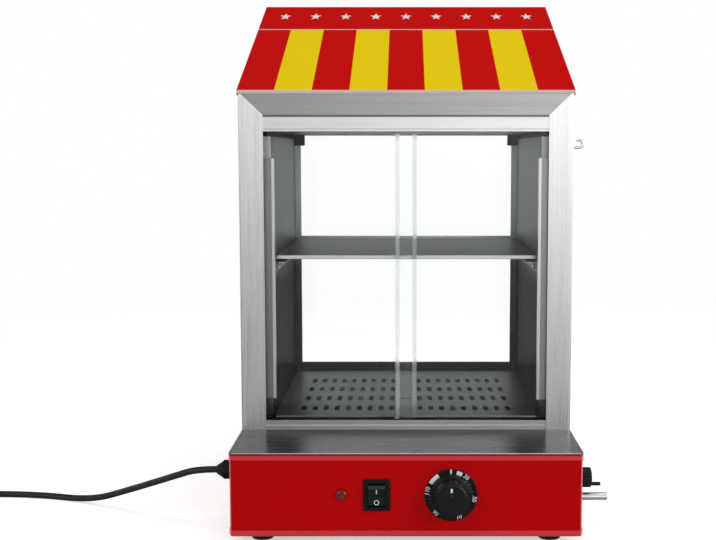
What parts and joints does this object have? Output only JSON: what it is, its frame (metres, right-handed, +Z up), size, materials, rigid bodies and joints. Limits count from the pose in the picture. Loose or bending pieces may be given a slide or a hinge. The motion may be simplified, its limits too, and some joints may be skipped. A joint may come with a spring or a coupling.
{
  "type": "hot dog steamer",
  "caption": "Counter-top food steamer cabinet: sliding glass doors, sloped striped roof, shelf, perforated floor over a water tank, red control base.",
  "frame": {"origin": "on the table, midway between the four feet", "axes": "+Z up, the front with its doors and controls faces -Y, +X is on the right of someone who stands in front"},
  "size_m": [0.793, 0.4326, 0.5709],
  "materials": {
    "red_paint": "gloss enamel",
    "roof_paint": "gloss enamel, red and yellow stripes",
    "casing_steel": "brushed stainless",
    "liner_steel": "plain stainless",
    "rail_aluminium": "satin anodised",
    "tempered_glass": "clear",
    "runner_plastic": "extruded",
    "black_plastic": "moulded",
    "dial_print": "printed",
    "pointer_white": "moulded",
    "lamp_amber": "translucent",
    "lamp_body": "moulded",
    "foot_rubber": "moulded",
    "gasket_rubber": "extruded",
    "cord_rubber": "sheathed",
    "screw_steel": "plated",
    "heater_steel": "heat-tinted",
    "brass": "machined",
    "pipe_steel": "drawn tube",
    "plug_metal": "plated",
    "block_ceramic": "glazed",
    "cutout_metal": "stamped"
  },
  "bodies": {
    "cabinet": {"back_panel": "casing_steel", "base_back": "casing_steel", "base_bottom": "casing_steel", "base_deck": "casing_steel", "base_shell": "red_paint", "bottom_rail": "rail_aluminium", "bottom_runner": "runner_plastic", "cable_gland": "black_plastic", "cord_coil": "cord_rubber", "dial_plate": "dial_print", "drain_pipe": "pipe_steel", "drain_spout": "pipe_steel", "drain_tap": "brass", "feet": "foot_rubber", "foot_screws": "screw_steel", "gland_nut": "black_plastic", "heater_nuts": "brass", "heater_saddles": "liner_steel", "heating_element": "heater_steel", "lamp_barrel": "lamp_body", "lamp_lens": "lamp_amber", "liner_back": "liner_steel", "liner_ceiling": "liner_steel", "liner_left": "liner_steel", "liner_right": "liner_steel", "mains_cord": "cord_rubber", "plug_body": "black_plastic", "plug_pins": "plug_metal", "rear_gasket": "gasket_rubber", "rear_pane": "tempered_glass", "rear_screws": "screw_steel", "rocker_body": "black_plastic", "roof_cover": "roof_paint", "roof_sheet": "casing_steel", "safety_cutout": "cutout_metal", "shelf_supports": "liner_steel", "side_panel_left": "casing_steel", "side_panel_right": "casing_steel", "support_screws": "screw_steel", "terminal_block": "block_ceramic", "thermostat": "black_plastic", "thermostat_screws": "screw_steel", "thermostat_sensor": "brass", "top_rail": "rail_aluminium", "top_runner": "runner_plastic", "utensil_hook": "screw_steel", "water_tank": "liner_steel", "window_clips": "black_plastic"},
    "left_door": {"door_left": "tempered_glass", "pull_left": "rail_aluminium"},
    "right_door": {"door_right": "tempered_glass", "pull_right": "rail_aluminium"},
    "heat_knob": {"thermostat_shaft": "screw_steel", "knob": "black_plastic", "knob_pointer": "pointer_white"},
    "power_rocker": {"rocker": "black_plastic"},
    "drain_lever": {"drain_spindle": "brass", "drain_handle": "black_plastic"},
    "lift_floor": {"chamber_floor": "liner_steel"},
    "lift_shelf": {"shelf": "liner_steel"}
  },
  "joints": [
    {"name": "door_left_slide", "type": "slide", "parent": "cabinet", "child": "left_door", "axis": [1, 0, 0], "range_m": [0, 0.136]},
    {"name": "door_right_slide", "type": "slide", "parent": "cabinet", "child": "right_door", "axis": [1, 0, 0], "range_m": [-0.136, 0]},
    {"name": "heat_turn", "type": "hinge", "parent": "cabinet", "child": "heat_knob", "pos_m": [0.0443, -0.21, 0.052], "axis": [0, 1, 0], "range_deg": [0, 280]},
    {"name": "power_rock", "type": "hinge", "parent": "cabinet", "child": "power_rocker", "pos_m": [-0.029, -0.2012, 0.052], "axis": [1, 0, 0], "range_deg": [-20, 0]},
    {"name": "drain_turn", "type": "hinge", "parent": "cabinet", "child": "drain_lever", "pos_m": [0.18, -0.135, 0.0508], "axis": [1, 0, 0], "range_deg": [0, 90]},
    {"name": "floor_lift", "type": "slide", "parent": "cabinet", "child": "lift_floor", "axis": [0, 0, 1], "range_m": [0, 0.15]},
    {"name": "shelf_lift", "type": "slide", "parent": "cabinet", "child": "lift_shelf", "axis": [0, 0, 1], "range_m": [0, 0.1]}
  ]
}
